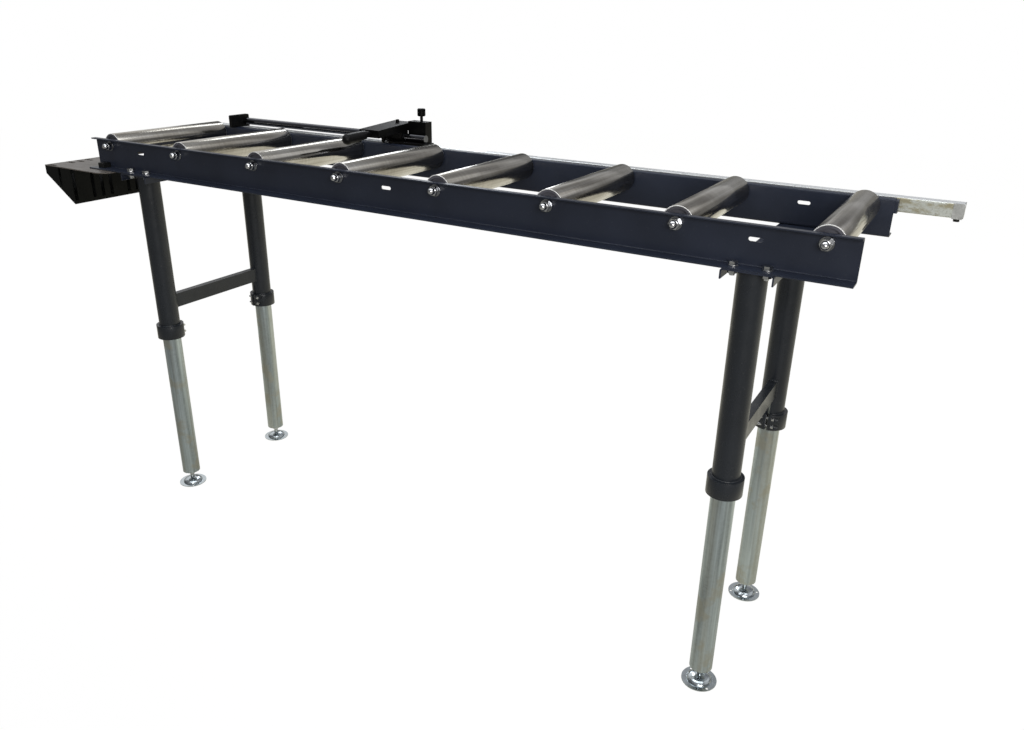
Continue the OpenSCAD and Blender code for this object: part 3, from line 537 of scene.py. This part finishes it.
def skin(bm, rings, closed):
    """Joins rings of points with faces. A closed row joins its ends, an open one caps them."""
    count = len(rings)
    for i in range(count if closed else count - 1):
        a, b = rings[i], rings[(i + 1) % count]
        for j in range(len(a)):
            k = (j + 1) % len(a)
            bm.faces.new((a[j], a[k], b[k], b[j]))
    if not closed:
        bm.faces.new(rings[0])
        bm.faces.new(rings[-1])


def around(centre, radius, angle, z):
    """A point on a level circle round a centre."""
    x = centre.x + radius * math.cos(angle)
    y = centre.y + radius * math.sin(angle)
    return Vector((x, y, z))


def bead_radius(i):
    """Radius of a hand-laid weld bead, which swells and thins along its length."""
    return BEAD * (1.0 + sum(share * math.sin(i * rate) for share, rate in LUMPS))


def bead(bm, points, closed, sides=BEAD_SIDES):
    """Lays a weld bead along a list of points."""
    count = len(points)
    rings = []
    for i, point in enumerate(points):
        ahead = points[(i + 1) % count] if closed or i + 1 < count else point
        behind = points[i - 1] if closed or i else point
        forward = (ahead - behind).normalized()
        side = forward.cross(Vector((0, 0, 1)))
        if side.length < NEAR_VERTICAL:
            side = forward.cross(Vector((0, 1, 0)))
        side.normalize()
        up = side.cross(forward)
        ring = []
        for j in range(sides):
            a = math.tau * j / sides
            out = side * math.cos(a) + up * math.sin(a)
            ring.append(bm.verts.new(point + bead_radius(i) * out))
        rings.append(ring)
    skin(bm, rings, closed)


def leg_beads():
    """Beads where each outer tube meets its clamp collar and the cross channel."""
    collar_z = high("clamp_collars").z
    for corner in CORNERS:
        tube = middle("outer_leg_" + corner)
        radius = half_width("outer_leg_" + corner) + BEAD_OFF
        top_z = high("outer_leg_" + corner).z - BEAD / 2
        # The slits face the table's middle line
        slit = math.radians(90 if "front" in corner else -90)
        start = slit + BEAD_GAP
        turn = (math.tau - 2 * BEAD_GAP) / (COLLAR_BEAD_POINTS - 1)
        at_collar = [
            around(tube, radius, start + turn * i, collar_z) for i in range(COLLAR_BEAD_POINTS)
        ]
        turn = math.tau / TOP_BEAD_POINTS
        at_top = [around(tube, radius, turn * i, top_z) for i in range(TOP_BEAD_POINTS)]
        bm = bmesh.new()
        bead(bm, at_collar, False)
        bead(bm, at_top, True)
        piece("leg_beads_" + corner, "table", WELD, bm)


def bar_bead_points(leg, sign):
    """Points round a cross bar's end, on the curve of the leg tube that it meets."""
    radius = half_width("outer_leg_front_left")
    half = high("cross_bars").x - middle("outer_leg_front_right").x
    bottom, top = low("cross_bars").z, high("cross_bars").z
    outline = [(-half, bottom), (half, bottom), (half, top), (-half, top)]
    points = []
    for (x0, z0), (x1, z1) in zip(outline, outline[1:] + outline[:1]):
        length = math.hypot(x1 - x0, z1 - z0)
        steps = max(BAR_BEAD_LEAST_STEPS, round(length / BAR_BEAD_STEP))
        for i in range(steps):
            x = x0 + (x1 - x0) * i / steps
            z = z0 + (z1 - z0) * i / steps
            y = sign * (math.sqrt(radius**2 - x**2) + BEAD_OFF)
            points.append(Vector((leg.x + x, leg.y + y, z)))
    return points


def cross_bar_beads():
    """Beads round both ends of each cross bar."""
    for side in ("left", "right"):
        bm = bmesh.new()
        for end, sign in (("front", 1), ("rear", -1)):
            leg = middle(f"outer_leg_{end}_{side}")
            bead(bm, bar_bead_points(leg, sign), True, BAR_BEAD_SIDES)
        piece("cross_bar_beads_" + side, "table", WELD, bm)


def lathe(bm, centre, sign, outline):
    """Revolves (radius, offset) points round the Y axis through a centre."""
    rings = []
    for radius, offset in outline:
        ring = []
        for i in range(LATHE_STEPS):
            a = math.tau * i / LATHE_STEPS
            x = centre.x + radius * math.cos(a)
            z = centre.z + radius * math.sin(a)
            ring.append(bm.verts.new((x, centre.y + sign * offset, z)))
        rings.append(ring)
    skin(bm, rings, True)


def bearing_faces():
    """Rubber seal and outer race of the bearing in each roller end."""
    seal = [
        (SEAL_IN, 0.0),
        (SEAL_IN, SEAL_DEPTH),
        (SEAL_IN + SEAL_LIP, SEAL_LIP_DEPTH),
        ((SEAL_IN + SEAL_OUT) / 2, SEAL_DISH_DEPTH),
        (SEAL_OUT - SEAL_LIP, SEAL_LIP_DEPTH),
        (SEAL_OUT, SEAL_DEPTH),
        (SEAL_OUT, 0.0),
    ]
    race = [
        (SEAL_OUT, 0.0),
        (SEAL_OUT, SEAL_DEPTH),
        (SEAL_OUT + RACE_LIP, RACE_DEPTH),
        (RACE_OUT - RACE_LIP, RACE_DEPTH),
        (RACE_OUT, SEAL_DEPTH),
        (RACE_OUT, 0.0),
    ]
    for k in ROLLERS:
        tube = middle(f"roller_tube_{k}")
        ends = ((low(f"roller_caps_{k}").y, -1), (high(f"roller_caps_{k}").y, 1))
        for name, outline, material, slot in (
            ("bearing_seals", seal, SEAL, "grip"),
            ("bearing_races", race, ZINC, "zinc"),
        ):
            bm = bmesh.new()
            for y, sign in ends:
                lathe(bm, Vector((tube.x, y, tube.z)), sign, outline)
            piece(f"{name}_{k}", f"roller_{k}", material, bm)


def stud_threads():
    """Fine thread up each stud, low enough to run through the lock nut and the insert; its dark
    colour is painted shade for the thread's roots.
    """
    for corner in CORNERS:
        foot = middle("levelling_foot_" + corner)
        bm = bmesh.new()
        rings = []
        for i in range(round(THREAD_HEIGHT / THREAD_PITCH * THREAD_STEPS)):
            a = math.tau * i / THREAD_STEPS
            z = DOME_TOP + THREAD_PITCH * i / THREAD_STEPS
            rings.append([
                bm.verts.new(around(foot, THREAD_RADIUS + out, a, z + up))
                for out, up in THREAD_OUTLINE
            ])
        skin(bm, rings, False)
        piece("stud_thread_" + corner, "foot_" + corner, THREAD_GROOVE_SHADE, bm)


def knurl():
    """Ridges round the head of the thumb screw."""
    centre = middle("thumb_screw")
    radius = half_width("thumb_screw")
    top = high("thumb_screw").z - KNURL_RIM
    bottom = top - KNURL_HEIGHT
    half = KNURL_HALF_SHARE * math.tau / KNURL_COUNT
    ridge = ((-half, -KNURL_IN), (0.0, KNURL_OUT), (half, -KNURL_IN))
    bm = bmesh.new()
    for i in range(KNURL_COUNT):
        a = math.tau * i / KNURL_COUNT
        ends = [
            [bm.verts.new(around(centre, radius + out, a + turn, z)) for turn, out in ridge]
            for z in (bottom, top)
        ]
        skin(bm, ends, False)
    piece("thumb_screw_knurl", "clamp_screw", BLACK, bm, False)


leg_beads()
cross_bar_beads()
bearing_faces()
stud_threads()
knurl()

WHITE = (1.0, 1.0, 1.0)

# Colours of the hall that metal reflects, from straight below to straight above
HALL_COLORS = (
    (0.00, (0.50, 0.48, 0.40)),
    (0.48, (0.50, 0.48, 0.42)),
    (0.53, (0.14, 0.14, 0.135)),
    (0.62, (0.13, 0.13, 0.135)),
    (0.80, (0.24, 0.24, 0.25)),
    (1.00, (0.40, 0.41, 0.43)),
)

# Rows of roof lights along Y, as stops of (half turns from +X over the top to -X, share of white).
# The lists are for directions that turn more and more towards +Y, where the rows run together.
SIDE_LIGHTS = (
    (0.00, 0.00), (0.13, 0.06), (0.19, 0.55), (0.29, 0.75), (0.35, 0.12), (0.48, 0.10),
    (0.59, 0.22), (0.65, 0.95), (0.84, 1.0), (0.92, 0.50), (1.00, 0.20),
)
NEAR_LIGHTS = (
    (0.00, 0.00), (0.13, 0.06), (0.19, 0.55), (0.29, 0.75), (0.35, 0.10), (0.48, 0.08),
    (0.59, 0.22), (0.65, 0.90), (0.72, 0.80), (0.79, 0.35), (0.85, 0.05), (1.00, 0.00),
)
MIDDLE_LIGHTS = (
    (0.00, 0.04), (0.11, 0.20), (0.22, 0.42), (0.28, 0.15), (0.34, 0.04), (0.44, 0.08),
    (0.52, 0.15), (0.61, 0.55), (0.68, 0.40), (0.74, 0.05), (1.00, 0.00),
)
FAR_LIGHTS = (
    (0.00, 0.00), (0.12, 0.06), (0.24, 0.22), (0.48, 0.34), (0.75, 0.44), (0.86, 0.30),
    (0.95, 0.06), (1.00, 0.00),
)

# Share of white that is left towards -Y, where the roof lights fade out
FRONT_SHARE = 0.08

# The part of a direction along +Y at which each list begins and is complete
LIGHT_TURNS = (
    (NEAR_LIGHTS, 0.62, 0.67),
    (MIDDLE_LIGHTS, 0.73, 0.82),
    (FAR_LIGHTS, 0.86, 0.95),
)


def light_ramp(graph, turn, lights):
    return graph.ramp(turn, [(place, grey(share)) for place, share in lights])


def hall():
    """World: white for the camera; a hall with rows of roof lights for reflections; soft light."""
    world = bpy.data.worlds.new("hall")
    bpy.context.scene.world = world
    world.use_nodes = True
    world.node_tree.nodes.clear()
    w = Graph(world.node_tree)
    x, y, z = w.split(w.add("ShaderNodeTexCoord").outputs["Generated"])

    # The walls are dimmer towards -X
    walls = w.add("ShaderNodeBackground")
    height = w.math("MULTIPLY", w.math("ADD", z, 1.0), 0.5)
    w.feed(walls.inputs["Color"], w.ramp(height, HALL_COLORS))
    w.feed(walls.inputs["Strength"], w.smooth_fit(x, -0.5, -0.1, 0.5, 1.0))
    white = w.add("ShaderNodeBackground")
    w.feed(white.inputs["Color"], WHITE)

    turn = w.math("DIVIDE", w.math("ARCTAN2", z, x), math.pi)
    share = light_ramp(w, turn, SIDE_LIGHTS)
    for lights, start, stop in LIGHT_TURNS:
        share = w.blend(w.smooth_fit(y, start, stop), share, light_ramp(w, turn, lights))
    share = w.blend(w.smooth_fit(y, 0.15, -0.25), share, FRONT_SHARE)

    seen = w.mix_shaders(w.backdrop_share(share), walls.outputs[0], white.outputs[0])
    w.feed(w.add("ShaderNodeOutputWorld").inputs["Surface"], seen)


def floor():
    """Pale floor: white for the camera with the object's soft shadow, warm grey for the rest,
    darkened towards -Y by painted shade.
    """
    half_side, cells = 9.0, 6
    front_painted_shade, dark, pale = (0.16, 0.165, 0.18), (0.54, 0.51, 0.42), (0.66, 0.63, 0.52)
    warm_white, strength = (1.0, 0.97, 0.82), 1.06
    s = Shader("floor", (0.60, 0.57, 0.47), rough=0.6, metal=0.0)
    sunlit = s.mix(s.fit(s.noise(even(1.3)), 0.3, 0.7), dark, pale)
    # Painted shade: the floor colour darkens towards -Y, in front of the table.
    s.color(s.mix(s.fit(s.axis("Y"), -1.2, 0.4), front_painted_shade, sunlit))
    glow = s.add("ShaderNodeEmission")
    glow.inputs["Strength"].default_value = strength
    camera_ray = s.add("ShaderNodeLightPath").outputs["Is Camera Ray"]
    s.feed(glow.inputs["Color"], s.mix(camera_ray, warm_white, WHITE))
    rear_share = s.smooth_fit(s.axis("Y"), -1.0, 1.0, 0.0, 0.75)
    least_share = s.smooth_fit(s.axis("X"), -5.5, -3.0, 0.02, 0.2)
    shiny_share = s.math("MAXIMUM", rear_share, least_share)
    share = s.math("MULTIPLY", s.backdrop_share(shiny_share), 0.93)
    seen = s.mix_shaders(share, s.surface.outputs[0], glow.outputs[0])
    s.feed(s.tree.nodes["Material Output"].inputs["Surface"], seen)

    bm = bmesh.new()
    bmesh.ops.create_grid(bm, x_segments=cells, y_segments=cells, size=half_side)
    mesh = bpy.data.meshes.new("floor")
    bm.to_mesh(mesh)
    bm.free()
    mesh.materials.append(s.material)
    obj = bpy.data.objects.new("floor", mesh)
    bpy.context.collection.objects.link(obj)


def softbox(name, at, to, size, power, color):
    lamp = bpy.data.lights.new(name, "AREA")
    lamp.shape = "RECTANGLE"
    lamp.size, lamp.size_y = size
    lamp.energy = power
    lamp.color = color
    obj = bpy.data.objects.new(name, lamp)
    bpy.context.collection.objects.link(obj)
    obj.location = at
    obj.rotation_euler = (Vector(to) - Vector(at)).to_track_quat("-Z", "Y").to_euler()


hall()
floor()
softbox(
    "roof_light_left",
    at=(-2.6, 3.8, 4.1), to=(-0.3, 0, 1.0), size=(0.7, 4.0), power=45, color=(0.92, 0.96, 1.0),
)
softbox(
    "ceiling_light",
    at=(0.3, -0.6, 3.6), to=(0, 0, 1.0), size=(4.0, 1.5), power=48, color=(0.95, 0.98, 1.0),
)
softbox(
    "front_fill",
    at=(2.3, -2.7, 1.9), to=(0.5, 0, 0.7), size=(2.0, 1.4), power=66, color=(1.0, 0.98, 0.95),
)

# The photograph's viewpoint, worked out from the object's straight edges
SENSOR_MM = 36.0
LENS_MM = 29.403
NEAREST, FARTHEST = 0.05, 50.0
VIEWPOINT = Matrix((
    (0.8646924, -0.2079622, 0.4572295, 1.1830158),
    (0.5019947, 0.3259515, -0.8010974, -1.6702333),
    (0.0175633, 0.9222295, 0.3862437, 1.3681265),
    (0, 0, 0, 1),
))


def photo_camera():
    camera = bpy.data.objects.new("photo_camera", bpy.data.cameras.new("photo_camera"))
    bpy.context.collection.objects.link(camera)
    bpy.context.scene.camera = camera
    camera.data.sensor_width = SENSOR_MM
    camera.data.lens = LENS_MM
    camera.data.clip_start = NEAREST
    camera.data.clip_end = FARTHEST
    camera.matrix_world = VIEWPOINT


photo_camera()
bpy.context.scene.view_settings.view_transform = "Standard"
